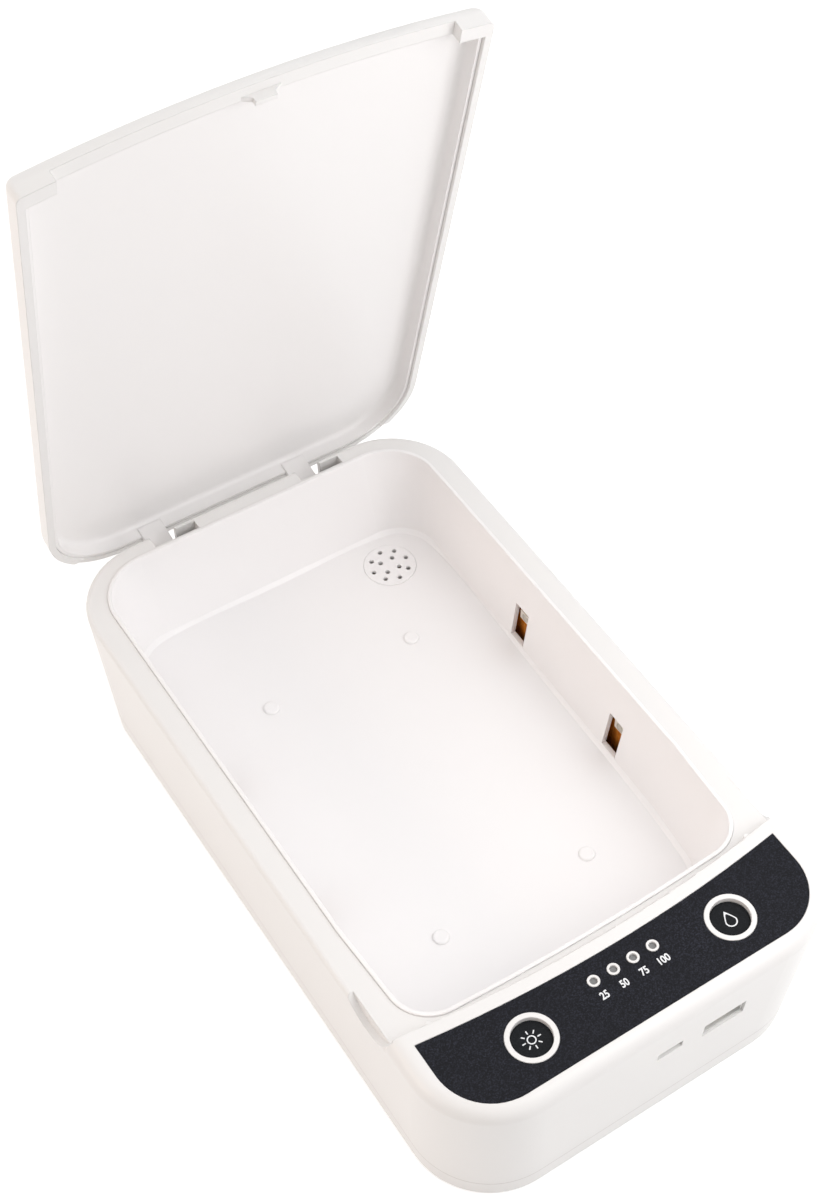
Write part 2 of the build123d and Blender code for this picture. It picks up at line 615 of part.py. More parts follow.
def build_aroma_set():
    """Grille in the floor; under it the cup with its scent pad and the warming disc."""
    centre = [(AROMA_X, AROMA_Y)]
    with BuildPart() as grille:
        seat_z = TUB_FLOOR_Z + GRILLE_PROUD - GRILLE_THICK
        extrude(discs(Plane.XY.offset(seat_z), centre, GRILLE_OD), amount=GRILLE_THICK)
        fillet(grille.edges().group_by(Axis.Z)[-1], GRILLE_PROUD)
        with BuildSketch(Plane.XY.offset(TUB_FLOOR_Z + GRILLE_PROUD)):
            for count, radius, first in GRILLE_RINGS:
                with Locations((AROMA_X, AROMA_Y)):
                    with PolarLocations(radius, count, first):
                        Circle(GRILLE_HOLE / 2)
        extrude(amount=-GRILLE_THICK, mode=Mode.SUBTRACT)
    keep(grille, "aroma_grille")

    cup_od = CUP_BORE + 2 * CUP_WALL
    with BuildPart() as cup:
        extrude(discs(Plane.XY.offset(TUB_UNDER_Z), centre, CUP_FLANGE_OD), amount=-CUP_WALL)
        extrude(discs(Plane.XY.offset(TUB_UNDER_Z), centre, cup_od), amount=-CUP_DEPTH)
        bore = discs(Plane.XY.offset(TUB_UNDER_Z), centre, CUP_BORE)
        extrude(bore, amount=-CUP_DEPTH + CUP_WALL, mode=Mode.SUBTRACT)
    keep(cup, "aroma_cup")

    cup_floor = TUB_UNDER_Z - CUP_DEPTH
    with BuildPart() as pad:
        extrude(discs(Plane.XY.offset(cup_floor + CUP_WALL), centre, PAD_OD), amount=PAD_THICK)
        fillet(pad.edges().group_by(Axis.Z)[-1], 1.0)
    keep(pad, "aroma_pad")

    with BuildPart() as heater:
        extrude(discs(Plane.XY.offset(cup_floor), centre, HEATER_OD), amount=-HEATER_THICK)
    keep(heater, "aroma_heater")


def build_lamps():
    """A lamp board behind each side wall, with one ultraviolet lamp at each window."""
    lamp_width, lamp_height = LAMP_SIZE
    lamp_z = WINDOW_Z + WINDOW_HEIGHT / 2 - LAMP_DROP - lamp_height / 2
    for side, name in ((-1, "left"), (1, "right")):
        face = side_plane(side * LAMP_BOARD_X)
        with BuildPart() as board:
            strip = span(face, LAMP_BOARD_Y[0], LAMP_BOARD_Z[0], LAMP_BOARD_Y[1], LAMP_BOARD_Z[1])
            extrude(strip, amount=side * LAMP_BOARD_THICK)
        keep(board, f"lamp_board_{name}")
        with BuildPart() as lamps:
            places = [(y, lamp_z) for y in WINDOW_YS]
            extrude(boxes(face, places, lamp_width, lamp_height), amount=-side * LAMP_THICK)
        keep(lamps, f"uv_lamps_{name}")


def lid_block(inset, bottom_z, top_z, edge):
    """The lid's form drawn in by inset between two heights of the shut lid, rounded on top."""
    with BuildPart() as block:
        extrude(lid_section(bottom_z, inset), amount=top_z - bottom_z)
        fillet(block.edges().group_by(Axis((0, 0, 0), LID_UP))[-1], edge)
    return block.part


def skirt_window():
    """The space below the raised middle of the lid's free end."""
    with BuildPart() as window:
        floor_z = LID_SEAT_Z - 1
        plan = span(lid_plane(floor_z), -SKIRT_HALF, -BODY_LENGTH, SKIRT_HALF, SKIRT_BACK_Y)
        extrude(plan, amount=SKIRT_Z - floor_z)
    return window.part


def build_lid_cover():
    """Outer shell of the lid, with the solid bar across its free end and the bar's stop tab."""
    with BuildPart() as cover:
        add(lid_block(0, LID_SEAT_Z, LID_TOP_Z, LID_EDGE))
        add(lid_hollow(LID_WALL, LID_SEAT_Z - 1, LID_TOP_Z - LID_TOP, LID_EDGE - LID_TOP - 0.3), mode=Mode.SUBTRACT)
        add(skirt_window(), mode=Mode.SUBTRACT)
        relief = span(
            lid_plane(LID_SEAT_Z - 1), -BODY_WIDTH, LID_REAR_Y - REAR_RELIEF_DEPTH, BODY_WIDTH, BODY_LENGTH
        )
        extrude(relief, amount=1 + REAR_RELIEF, mode=Mode.SUBTRACT)
        # stop tab, wider at its root
        tip = TUB_TOP_Z + LID_SEAT_GAP
        root = SKIRT_Z - TAB_ROOT
        with BuildSketch(lid_front_plane(LID_FRONT_Y + BAR_THICK)) as outline:
            with BuildLine():
                Polyline(
                    (-TAB_ROOT_HALF, SKIRT_Z + 0.5), (TAB_ROOT_HALF, SKIRT_Z + 0.5), (TAB_ROOT_HALF, SKIRT_Z),
                    (TAB_HALF, root), (TAB_HALF, tip), (-TAB_HALF, tip), (-TAB_HALF, root),
                    (-TAB_ROOT_HALF, SKIRT_Z), close=True,
                )
            make_face()
        extrude(amount=TAB_THICK)
        extrude(magnet_plan(LINER_WALL), amount=MAGNET_SIZE[2], mode=Mode.SUBTRACT)
    keep(cover, "lid_cover")


def build_lid_liner():
    """Inner shell of the lid behind the bar: panel, edge flange and the two hinge arms."""
    inset = LID_WALL + LINER_GAP
    low = LID_SEAT_Z + LINER_STEP
    top_z = LID_TOP_Z - LID_TOP - LINER_GAP
    edge = LID_EDGE - LID_TOP - 0.4
    with BuildPart() as liner:
        add(lid_hollow(inset, low, top_z, edge, LINER_GAP))
        add(lid_block(inset + LINER_WALL, low - 1, top_z - LINER_PANEL, edge - LINER_PANEL), mode=Mode.SUBTRACT)
        for middle in (-NOTCH_X, NOTCH_X):
            plane = lid_side_plane(arm_left(middle))
            extrude(discs(plane, [(HINGE_Y, HINGE_Z)], KNUCKLE_OD), amount=ARM_WIDTH)
            extrude(span(plane, ARM_FRONT_Y, HINGE_Z, ARM_REAR_Y, ARM_STEP_Z), amount=ARM_WIDTH)
            upper = span(plane, ARM_FRONT_Y, ARM_STEP_Z - 1, LID_REAR_Y - inset, LID_TOP_Z - LID_EDGE)
            extrude(upper, amount=ARM_WIDTH)
            bore = discs(plane, [(HINGE_Y, HINGE_Z)], PIN_OD + 2 * PIN_PLAY)
            extrude(bore, amount=ARM_WIDTH, mode=Mode.SUBTRACT)
    keep(liner, "lid_liner")


def behind_bar(z, shift=0.0):
    """Everything behind the bar at the lid's free end, and shift behind it, at height z of the shut lid."""
    back_y = LID_FRONT_Y + BAR_THICK + shift
    radius = LID_FRONT_RADIUS - BAR_THICK - shift
    side_x = BODY_WIDTH
    side_y = back_y + radius - (radius**2 - side_x**2) ** 0.5
    with BuildSketch(lid_plane(z)) as behind:
        with BuildLine():
            arc = ThreePointArc((-side_x, side_y), (0, back_y), (side_x, side_y))
            Polyline(arc @ 1, (side_x, BODY_LENGTH), (-side_x, BODY_LENGTH), arc @ 0)
        make_face()
    return behind.sketch.face()


def lid_hollow(inset, low, top_z, edge, shift=0.0):
    """The lid's form drawn in by inset between two heights, as far forward as the bar, and shift behind it."""
    with BuildPart() as hollow:
        add(lid_block(inset, low, top_z, edge))
        extrude(behind_bar(low, shift), amount=top_z - low, mode=Mode.INTERSECT)
    return hollow.part


def magnet_plan(backward=0.0):
    """The magnet's outline beside the tab, level with the liner's panel, run on by backward to the rear."""
    wide, deep, tall = MAGNET_SIZE
    back_y = LID_FRONT_Y + BAR_THICK + MAGNET_BACK
    low = LID_TOP_Z - LID_TOP - LINER_GAP - (LINER_PANEL + tall) / 2
    return span(lid_plane(low), MAGNET_X - wide / 2, back_y - deep, MAGNET_X + wide / 2, back_y + backward)


def build_lid_magnet():
    """Small magnet slid into the bar from behind; the sensor beside the board answers to it when the lid is shut."""
    with BuildPart() as magnet:
        extrude(magnet_plan(), amount=MAGNET_SIZE[2])
    keep(magnet, "lid_magnet")


def build_hinge_pins():
    """One pin through each pair of ears and the arm between them."""
    with BuildPart() as pins:
        for middle in (-NOTCH_X, NOTCH_X):
            start = middle - NOTCH_WIDTH / 2 - EAR_THICK
            extrude(discs(side_plane(start), [(HINGE_Y, HINGE_Z)], PIN_OD), amount=NOTCH_WIDTH + 2 * EAR_THICK)
    keep(pins, "hinge_pins")


def coil_point(middle, turns):
    """Point and direction of a spring's wire after that many turns from the ear's end."""
    angle = 2 * pi * turns
    x = coil_start_x(middle) - COIL_PITCH * turns
    point = Vector(x, HINGE_Y - COIL_RADIUS * cos(angle), HINGE_Z + COIL_RADIUS * sin(angle))
    along = Vector(-COIL_PITCH, 2 * pi * COIL_RADIUS * sin(angle), 2 * pi * COIL_RADIUS * cos(angle))
    return point, along.normalized()


def biarc(start, start_way, end, end_way):
    """Two arcs that leave and arrive along the given directions."""
    chord = end - start
    both = start_way + end_way
    spread = 2 * (1 - start_way.dot(end_way))
    reach = (-chord.dot(both) + (chord.dot(both) ** 2 + spread * chord.dot(chord)) ** 0.5) / spread
    first = start + start_way * reach
    second = end - end_way * reach
    joint = (first + second) * 0.5
    TangentArc(start, joint, tangent=start_way)
    TangentArc(joint, end, tangent=(second - first).normalized())


def build_hinge_springs():
    """A torsion spring on each pin, wound beside the arm."""
    quarter_turns = 4 * COIL_TURNS + 1
    for middle, name in ((-NOTCH_X, "left"), (NOTCH_X, "right")):
        nodes = [coil_point(middle, i / 4) for i in range(quarter_turns + 1)]
        with BuildPart() as spring:
            with BuildLine() as wire:
                Line(nodes[0][0] - nodes[0][1] * COIL_LOW_LEG, nodes[0][0])
                for (start, start_way), (end, end_way) in zip(nodes, nodes[1:]):
                    biarc(start, start_way, end, end_way)
                Line(nodes[-1][0], nodes[-1][0] + nodes[-1][1] * COIL_BACK_LEG)
            with BuildSketch(Plane(origin=wire.line @ 0, z_dir=wire.line % 0)):
                Circle(WIRE_OD / 2)
            sweep(path=wire.line)
        keep(spring, f"hinge_spring_{name}")
    turn_gap = COIL_PITCH * cos(COIL_PITCH / (2 * pi * COIL_RADIUS)) - WIRE_OD
    length = sum(edge.length for edge in wire.edges())
    swept = spring.part.volume / (pi * (WIRE_OD / 2) ** 2)
    print(f"hinge spring: least gap between turns {turn_gap:.2f}, length {length:.1f}, swept length {swept:.1f}")


def coil_start_x(middle):
    """The x where a spring's coil begins, beside the ear at the notch's right edge."""
    return middle + NOTCH_WIDTH / 2 - ARM_GAP - WIRE_OD / 2


def build_label():
    """Dark sheet on the deck, open round the keys and the lights."""
    with BuildPart() as label:
        extrude(label_outline(DECK_Z), amount=-LABEL_THICK)
        plane = Plane.XY.offset(DECK_Z)
        holes = discs(plane, mirrored([(KEY_X, KEY_Y)]), COLLAR_OD + 2 * LABEL_GAP)
        extrude(holes, amount=-LABEL_THICK, mode=Mode.SUBTRACT)
        holes = discs(plane, [(x, LIGHT_Y) for x in LIGHT_XS], LIGHT_COLLAR_OD + 2 * LABEL_GAP)
        extrude(holes, amount=-LABEL_THICK, mode=Mode.SUBTRACT)
    keep(label, "control_label")


def build_keys():
    """Each key has a round cap, a flange under the deck and a stem down to its switch."""
    plunger_top = BOARD_TOP_Z + SWITCH_HEIGHT + PLUNGER_RISE
    for x, name in ((-KEY_X, "sterilise"), (KEY_X, "aroma")):
        centre = [(x, KEY_Y)]
        with BuildPart() as key:
            extrude(discs(Plane.XY.offset(KEY_FLANGE_Z), centre, KEY_FLANGE_OD), amount=-KEY_FLANGE)
            extrude(discs(Plane.XY.offset(KEY_FLANGE_Z), centre, KEY_OD), amount=KEY_TOP_Z - KEY_FLANGE_Z)
            fillet(key.edges().group_by(Axis.Z)[-1], 0.3)
            stem_top = KEY_FLANGE_Z - KEY_FLANGE / 2
            extrude(discs(Plane.XY.offset(plunger_top), centre, KEY_STEM_OD), amount=stem_top - plunger_top)
        keep(key, f"{name}_button")
        with BuildPart() as plunger:
            length = PLUNGER_RISE + PLUNGER_DEPTH
            extrude(discs(Plane.XY.offset(plunger_top), centre, PLUNGER_OD), amount=-length)
        keep(plunger, f"{name}_plunger")
    with BuildPart() as switches:
        points = mirrored([(KEY_X, KEY_Y)])
        extrude(boxes(Plane.XY.offset(BOARD_TOP_Z), points, SWITCH_SIZE, SWITCH_SIZE), amount=SWITCH_HEIGHT)
        bores = discs(Plane.XY.offset(BOARD_TOP_Z + SWITCH_HEIGHT), points, PLUNGER_OD + 2 * PLUNGER_PLAY)
        extrude(bores, amount=-PLUNGER_DEPTH - KEY_TRAVEL - PLUNGER_ROOM, mode=Mode.SUBTRACT)
    keep(switches, "button_switches")


def build_light_pipe():
    """Four clear rods on one bar, under the collars of the progress lights."""
    points = [(x, LIGHT_Y) for x in LIGHT_XS]
    low = BOARD_TOP_Z + LED_SIZE[2] + LED_GAP
    with BuildPart() as pipe:
        extrude(discs(Plane.XY.offset(low), points, LIGHT_OD), amount=DECK_Z - LIGHT_SUNK - low)
        half = LIGHT_XS[-1] + LIGHT_BAR_WIDTH / 2
        bar = span(
            Plane.XY.offset(DECK_UNDER_Z), -half, LIGHT_Y - LIGHT_BAR_WIDTH / 2, half, LIGHT_Y + LIGHT_BAR_WIDTH / 2
        )
        extrude(bar, amount=-LIGHT_BAR_THICK)
    keep(pipe, "light_pipe")
    with BuildPart() as leds:
        extrude(boxes(Plane.XY.offset(BOARD_TOP_Z), points, LED_SIZE[0], LED_SIZE[1]), amount=LED_SIZE[2])
    keep(leds, "indicator_leds")


def build_board():
    """Control board on the deck's posts, with its chip, inductor, lid sensor and lead connectors."""
    post_points = mirrored([(POST_X, y) for y in POST_YS])
    with BuildPart() as board:
        plan = span(Plane.XY.offset(BOARD_TOP_Z), -BOARD_HALF, BOARD_Y[0], BOARD_HALF, BOARD_Y[1])
        extrude(plan, amount=-BOARD_THICK)
        holes = discs(Plane.XY.offset(BOARD_TOP_Z), post_points, BOARD_SCREW[2] + 0.4)
        extrude(holes, amount=-BOARD_THICK, mode=Mode.SUBTRACT)
    keep(board, "control_board")
    with BuildPart() as chip:
        extrude(boxes(Plane.XY.offset(BOARD_TOP_Z), [CHIP_POINT], CHIP_SIZE[0], CHIP_SIZE[1]), amount=CHIP_SIZE[2])
    keep(chip, "controller_chip")
    with BuildPart() as coil:
        extrude(discs(Plane.XY.offset(BOARD_UNDER_Z), [INDUCTOR_POINT], INDUCTOR_SIZE[0]), amount=-INDUCTOR_SIZE[1])
    keep(coil, "boost_inductor")
    with BuildPart() as sensor:
        body_z = BOARD_TOP_Z + SENSOR_LEG
        extrude(boxes(Plane.XY.offset(body_z), [SENSOR_POINT], SENSOR_SIZE[0], SENSOR_SIZE[1]), amount=SENSOR_SIZE[2])
        legs = [(SENSOR_POINT[0] + i * SENSOR_PITCH, SENSOR_POINT[1]) for i in (-1, 0, 1)]
        extrude(boxes(Plane.XY.offset(body_z), legs, 0.4, 0.4), amount=-SENSOR_LEG)
    keep(sensor, "lid_sensor")
    with BuildPart() as connectors:
        wide, deep, tall = CONNECTOR_SIZE
        extrude(boxes(Plane.XY.offset(BOARD_UNDER_Z), CONNECTOR_POINTS, wide, deep), amount=-tall)
    keep(connectors, "lead_connectors")


def build_sockets():
    """USB-A outlet and micro-USB inlet, both hung under the board's front edge."""
    places = (
        ("usb_a", USB_A_X, USB_A_SIZE, USB_A_TONGUE, USB_A_TONGUE_DROP),
        ("micro_usb", MICRO_X, MICRO_SIZE, MICRO_TONGUE, MICRO_TONGUE_DROP),
    )
    front = Plane.XZ.offset(-SOCKET_FRONT_Y)
    for name, x, (wide, deep, tall), (tongue_wide, tongue_deep, tongue_thick), drop in places:
        low = BOARD_UNDER_Z - tall
        with BuildPart() as shell:
            extrude(span(front, x - wide / 2, low, x + wide / 2, BOARD_UNDER_Z), amount=-deep)
            inner = span(
                front, x - wide / 2 + SOCKET_METAL, low + SOCKET_METAL,
                x + wide / 2 - SOCKET_METAL, BOARD_UNDER_Z - SOCKET_METAL,
            )
            extrude(inner, amount=-deep + SOCKET_METAL, mode=Mode.SUBTRACT)
        keep(shell, f"{name}_shell")
        with BuildPart() as tongue:
            back = Plane.XZ.offset(-SOCKET_FRONT_Y - deep + SOCKET_METAL)
            high = BOARD_UNDER_Z - SOCKET_METAL - drop
            blade = span(back, x - tongue_wide / 2, high - tongue_thick, x + tongue_wide / 2, high)
            extrude(blade, amount=tongue_deep)
            base = span(
                back, x - wide / 2 + SOCKET_METAL, low + SOCKET_METAL,
                x + wide / 2 - SOCKET_METAL, BOARD_UNDER_Z - SOCKET_METAL,
            )
            extrude(base, amount=SOCKET_BASE)
        keep(tongue, f"{name}_tongue")


def screws(points, seat_z, sizes):
    """Screws that stand head down under a seat at the given height."""
    head, head_height, shank, length = sizes
    with BuildPart() as group:
        extrude(discs(Plane.XY.offset(seat_z), points, head), amount=-head_height)
        extrude(discs(Plane.XY.offset(seat_z), points, shank), amount=length)
        slot = boxes(Plane.XY.offset(seat_z - head_height), points, head * 0.6, SLOT_WIDTH)
        extrude(slot, amount=head_height / 2, mode=Mode.SUBTRACT)
        slot = boxes(Plane.XY.offset(seat_z - head_height), points, SLOT_WIDTH, head * 0.6)
        extrude(slot, amount=head_height / 2, mode=Mode.SUBTRACT)
    return group


def build_fasteners():
    """Case, tub and board screws, and the four feet."""
    seat = SCREW_SUNK + CASE_SCREW[1]
    keep(screws(mirrored(BOSS_POINTS), seat, CASE_SCREW), "case_screws")
    tub_points = mirrored([(TUB_SCREW_X, y) for y in TUB_SCREW_YS])
    keep(screws(tub_points, RIM_UNDER_Z - FLANGE_THICK, TUB_SCREW), "tub_screws")
    post_points = mirrored([(POST_X, y) for y in POST_YS])
    keep(screws(post_points, BOARD_UNDER_Z, BOARD_SCREW), "board_screws")
    with BuildPart() as feet:
        extrude(discs(Plane.XY, mirrored([(FOOT_X, y) for y in FOOT_YS]), FOOT_OD), amount=FOOT_THICK)
        fillet(feet.edges().group_by(Axis.Z)[0], 0.3)
    keep(feet, "rubber_feet")


def lead(name, points, radii):
    """A two-core lead along straight runs joined by arcs."""
    with BuildPart() as tube:
        with BuildLine() as route:
            FilletPolyline(*points, radius=radii)
        with BuildSketch(Plane(origin=route.line @ 0, z_dir=route.line % 0)):
            Circle(LEAD_OD / 2)
        sweep(path=route.line)
    length = sum(edge.length for edge in route.edges())
    print(name, f"length {length:.1f}, swept {tube.part.volume / (pi * LEAD_OD**2 / 4):.1f}")
    keep(tube, name)


def build_leads():
    """Leads from the control board to the lamps and the warming disc."""
    start_z = BOARD_UNDER_Z - CONNECTOR_SIZE[2]
    lane_x = LAMP_BOARD_X + LAMP_BOARD_THICK / 2
    for side, name, (x, y) in ((-1, "left", CONNECTOR_POINTS[0]), (1, "right", CONNECTOR_POINTS[2])):
        points = [
            (x, y, start_z),
            (x, y, LEAD_LOW_Z),
            (side * lane_x, LEAD_LANE_Y, LEAD_LOW_Z),
            (side * lane_x, LAMP_BOARD_Y[0] + LEAD_OD, LEAD_LOW_Z),
            (side * lane_x, LAMP_BOARD_Y[0] + LEAD_OD, LAMP_BOARD_Z[0]),
        ]
        lead(f"uv_lead_{name}", points, (7.0, 12.0, 4.5))
    x, y = CONNECTOR_POINTS[1]
    heater_z = TUB_UNDER_Z - CUP_DEPTH - LEAD_OD / 2 - LEAD_END_GAP
    points = [
        (x, y, start_z),
        (x, y, heater_z + 4),
        (x + 16, y + 38, heater_z),
        (AROMA_X, 20, heater_z),
        (AROMA_X, AROMA_Y - HEATER_OD / 2 - LEAD_END_GAP, heater_z),
    ]
    lead("heater_lead", points, (9.0, 20.0, 30.0))


LID_UP = lid_plane(0).z_dir
os.makedirs("parts", exist_ok=True)
build_housing()
build_bottom_cover()
build_tub()
build_aroma_set()
build_lamps()
build_lid_cover()
build_lid_liner()
build_lid_magnet()
build_hinge_pins()
build_hinge_springs()
build_label()
build_keys()
build_light_pipe()
build_board()
build_sockets()
build_fasteners()
build_leads()
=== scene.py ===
# Looks of the ultraviolet phone sanitiser box: finishes, printed marks, lamp and socket details, studio.
# Metres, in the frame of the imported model.
import math

import bmesh
import bpy
from mathutils import Matrix, Vector


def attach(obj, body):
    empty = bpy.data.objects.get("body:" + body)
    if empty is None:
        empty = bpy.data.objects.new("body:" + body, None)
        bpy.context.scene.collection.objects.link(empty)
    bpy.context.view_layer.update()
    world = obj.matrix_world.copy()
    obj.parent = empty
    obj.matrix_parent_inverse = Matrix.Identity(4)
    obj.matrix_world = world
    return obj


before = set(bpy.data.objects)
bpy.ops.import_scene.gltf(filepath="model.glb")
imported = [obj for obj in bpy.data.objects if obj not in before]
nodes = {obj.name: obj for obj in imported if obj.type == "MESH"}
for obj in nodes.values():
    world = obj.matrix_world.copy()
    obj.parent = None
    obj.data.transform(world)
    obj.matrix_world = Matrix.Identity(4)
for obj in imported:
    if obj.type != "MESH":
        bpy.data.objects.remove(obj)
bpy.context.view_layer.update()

MM = 0.001

# The photograph's viewpoint, worked out from the object's outline
PHOTO_WIDTH = 834
PHOTO_HEIGHT = 1200
FOCAL_PIXELS = 1935
SIGHT_POINT = (527, 689)  # the pixel that the lens points at
SENSOR = 36.0
CAMERA_PLACE = (-0.1675, -0.2615, 0.4864)
CAMERA_RIGHT = (0.8245, -0.5647, 0.0357)
CAMERA_FORWARD = (0.3625, 0.4787, -0.7996)

# The studio
WHITE = (1.0, 1.0, 1.0)
ROOM_LEVEL = 0.87  # the room's light on the object; the background is seen at 1
DIM_SIDE = (-0.78, -0.62, 0.08)  # where the room is darkest
DIM_START = 0.50  # how nearly a direction points there when the dimming starts
DIM_COLOUR = (0.12, 0.09, 0.07)
TABLE_COLOUR = (0.82, 0.82, 0.82)
TABLE_LIFT = 0.45  # lifts the table to white where it is seen
TABLE_REACH = 3.0
TABLE_GAP = 0.2 * MM
STUDIO_LAMPS = (  # name, place, aim, size, power, colour
    ("front_lamp", (0.02, -1.05, 0.50), (0.0, 0.05, 0.08), (0.9, 0.6), 0.60, (1.0, 0.985, 0.985)),
    ("top_lamp", (-0.30, 0.22, 1.05), (0.0, 0.0, 0.03), (0.7, 0.7), 0.48, (1.0, 0.995, 0.99)),
    ("lid_lamp", (0.13, -0.17, 0.27), (-0.03, 0.12, 0.08), (0.22, 0.22), 0.37, (1.0, 0.985, 0.985)),
    ("warm_lamp", (-1.1, 0.20, 0.42), (0.0, 0.0, 0.05), (0.6, 0.6), 3.4, (1.0, 0.80, 0.66)),
)

# The case and the heater under the grille
SEAM_Z = 7.5 * MM
SEAM_HALF = 0.22 * MM
# A band of painted shade along the joint between the case and its bottom cover
SEAM_PAINTED_SHADE = (0.42, 0.38, 0.35)
HEATER_CENTRE = (34.5 * MM, 80.4 * MM)

# The print on the deck and the keys
DECK_Z = 54.0 * MM
KEY_TOP_Z = 52.8 * MM
KEY_X = 31.1 * MM
KEY_Y = -91.8 * MM
PRINT_THICK = 0.02 * MM
NUMBER_Y = -92.1 * MM
NUMBER_HEIGHT = 2.25 * MM
NUMBER_SWELL = 0.028  # thickens the strokes, for letters of size 1
NUMBER_RAISE = 0.01  # half the thickness of letters of size 1
SCALE_NUMBERS = (  # number, place across the deck, width
    ("25", -9.2 * MM, 2.3 * MM),
    ("50", -3.0 * MM, 2.3 * MM),
    ("75", 3.15 * MM, 2.3 * MM),
    ("100", 9.4 * MM, 3.3 * MM),
)
LAMP_RING = (1.25 * MM, 0.92 * MM)  # outer and inner radius
RAYS = 8
RAY_OUT = 2.25 * MM  # from the middle of the sign to the middle of a ray
RAY_LENGTH = 1.0 * MM
RAY_WIDTH = 0.33 * MM
DROP_RING = (1.75 * MM, 1.38 * MM)
DROP_LOWERED = 0.5 * MM
DROP_DRAWN = 0.85  # how far the top of the ring is drawn up, for a radius of 1
DROP_TAPER = 0.35  # how it narrows towards the point

# The lamps behind the windows and the contacts in the sockets
LAMP_FACE_X = 53.2 * MM
LAMP_Z = 31.8 * MM
LAMP_YS = (32.9 * MM, -15.7 * MM)
LENS_PROFILE = (  # radius and rise in mm, from the middle of the lens to the foot of its ring
    (0.0, 0.36), (0.55, 0.33), (0.95, 0.21), (1.2, 0.0), (1.25, 0.12), (1.5, 0.12), (1.55, 0.0)
)
LENS_STEPS = 28
BOARD_FACE_X = 54.35 * MM
SOLDER_DROP = 2.2 * MM  # from the middle of a lamp down to its solder
SOLDER_ASIDE = 1.4 * MM
SOLDER_RADIUS = 0.6 * MM
SOLDER_FLATTENED = (0.35, 0.9, 0.55)
SOCKET_CONTACTS = (  # in mm: middle of the row, size of a strip, places of the strips along the row
    ((19.8, -100.6, 34.77), (1.0, 8.4, 0.1), (-3.5, -1.0, 1.0, 3.5)),
    ((2.0, -103.4, 36.08), (0.35, 2.8, 0.06), (-1.3, -0.65, 0.0, 0.65, 1.3)),
)
CONTACT_EDGE = 0.02 * MM


# ---------------------------------------------------------------- node trees

class Wiring:
    """The node tree of the room, the table or a finish, emptied and wired anew."""

    def __init__(self, owner):
        owner.use_nodes = True
        self.tree = owner.node_tree
        self.tree.nodes.clear()

    def add(self, kind):
        return self.tree.nodes.new(kind)

    def join(self, start, end):
        self.tree.links.new(start, end)

    def feed(self, value, socket):
        """Give a socket a number, a colour or the output of another node."""
        if isinstance(value, tuple):
            socket.default_value = (*value, 1.0)
        elif isinstance(value, float):
            socket.default_value = value
        else:
            self.join(value, socket)

    def reckon(self, operation, *values):
        """Work out one sum on one or two values."""
        node = self.add("ShaderNodeMath")
        node.operation = operation
        for value, socket in zip(values, node.inputs):
            self.feed(value, socket)
        return node.outputs[0]

    def spread(self, value, low, high, start=0.3, end=0.7):
        """Bring a value that runs from start to end into the range from low to high."""
        reach = self.add("ShaderNodeMapRange")
        reach.inputs["From Min"].default_value = start
        reach.inputs["From Max"].default_value = end
        reach.inputs["To Min"].default_value = low
        reach.inputs["To Max"].default_value = high
        self.join(value, reach.inputs["Value"])
        return reach.outputs["Result"]

    def blend(self, share, first, second):
        """Mix two colours, each given as numbers or as an output."""
        mix = self.add("ShaderNodeMix")
        mix.data_type = "RGBA"
        self.join(share, mix.inputs[0])
        self.feed(first, mix.inputs[6])
        self.feed(second, mix.inputs[7])
        return mix.outputs[2]

    def background_ray(self):
        """1 for a ray that shows the background, straight or in gloss or glass; 0 for one that lights."""
        path = self.add("ShaderNodeLightPath")
        straight_or_gloss = self.reckon("MAXIMUM", path.outputs["Is Camera Ray"], path.outputs["Is Glossy Ray"])
        return self.reckon("MAXIMUM", straight_or_gloss, path.outputs["Is Transmission Ray"])


# ---------------------------------------------------------------- camera and studio

def set_up_camera():
    """A camera at the photograph's viewpoint, with the photograph's frame."""
    camera = bpy.data.cameras.new("camera")
    camera.sensor_fit = "VERTICAL"
    camera.sensor_height = SENSOR
    camera.sensor_width = SENSOR
    camera.lens = FOCAL_PIXELS / PHOTO_HEIGHT * SENSOR
    camera.shift_x = (PHOTO_WIDTH / 2 - SIGHT_POINT[0]) / PHOTO_HEIGHT
    camera.shift_y = (SIGHT_POINT[1] - PHOTO_HEIGHT / 2) / PHOTO_HEIGHT
    camera.clip_start = 0.01
    right = Vector(CAMERA_RIGHT).normalized()
    forward = Vector(CAMERA_FORWARD).normalized()
    up = right.cross(forward).normalized()
    holder = bpy.data.objects.new("camera", camera)
    turn = Matrix((right, up, -forward)).transposed().to_4x4()
    holder.matrix_world = Matrix.Translation(CAMERA_PLACE) @ turn
    bpy.context.scene.collection.objects.link(holder)
    bpy.context.scene.camera = holder


def soft_lamp(name, place, aim, size, power, colour):
    """A square studio softbox that faces a point."""
    lamp = bpy.data.lights.new(name, "AREA")
    lamp.shape = "RECTANGLE"
    lamp.size, lamp.size_y = size
    lamp.energy = power
    lamp.color = colour
    holder = bpy.data.objects.new(name, lamp)
    holder.location = place
    holder.rotation_euler = (Vector(aim) - Vector(place)).to_track_quat("-Z", "Y").to_euler()
    bpy.context.scene.collection.objects.link(holder)


